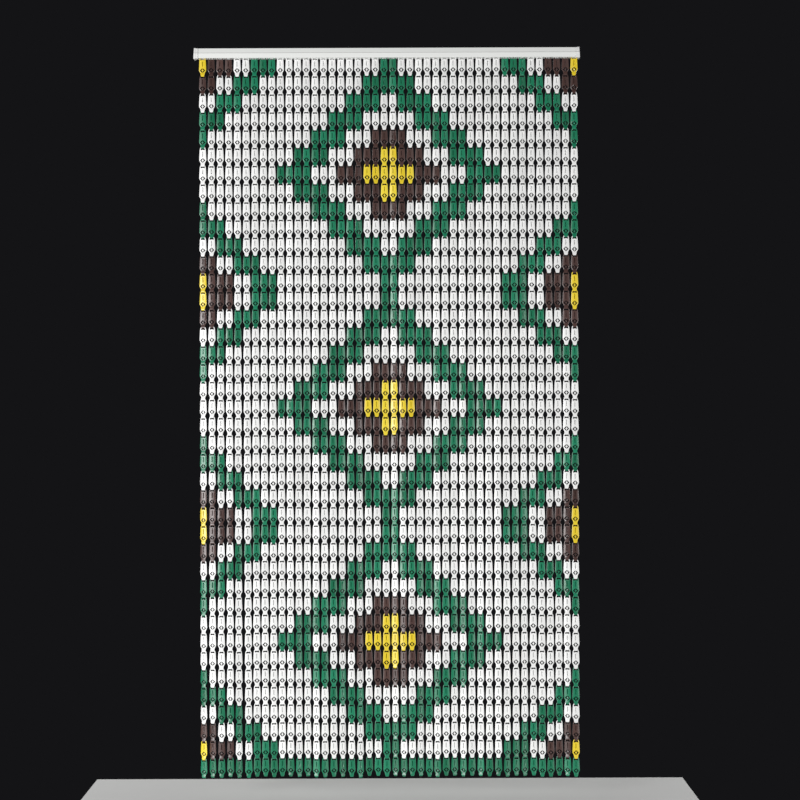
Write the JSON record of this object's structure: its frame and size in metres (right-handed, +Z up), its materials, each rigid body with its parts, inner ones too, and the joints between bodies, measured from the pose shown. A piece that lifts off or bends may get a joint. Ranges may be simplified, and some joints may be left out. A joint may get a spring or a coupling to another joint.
{
  "type": "plastic tile door curtain with its rail",
  "caption": "Doorway curtain of hanging strands of hooked bottle-shaped plastic tiles, carried by a straight channel rail with end caps.",
  "frame": {"origin": "middle of the rail's flat back face, at half its length and half its height", "axes": "+X to the right along the rail as seen from the front, +Y out of the rail's back face towards the wall, +Z up, with the strands hanging down -Z and the front facing -Y"},
  "size_m": [1, 0.0258, 1.8914],
  "materials": {
    "tile_white": "moulded, semi-gloss, white",
    "tile_green": "moulded, semi-gloss, emerald green",
    "tile_brown": "moulded, semi-gloss, dark brown",
    "tile_yellow": "moulded, semi-gloss, warm yellow",
    "rail_enamel": "satin white enamel",
    "cap_white": "moulded, matt white",
    "screw_dark": "blackened steel"
  },
  "bodies": {
    "root": {"rail": "rail_enamel", "end_cap_left": "cap_white", "end_cap_right": "cap_white", "cap_screw_left": "screw_dark", "cap_screw_right": "screw_dark", "strands_left": "tile_white", "strands_right": "tile_white"}
  },
  "joints": []
}
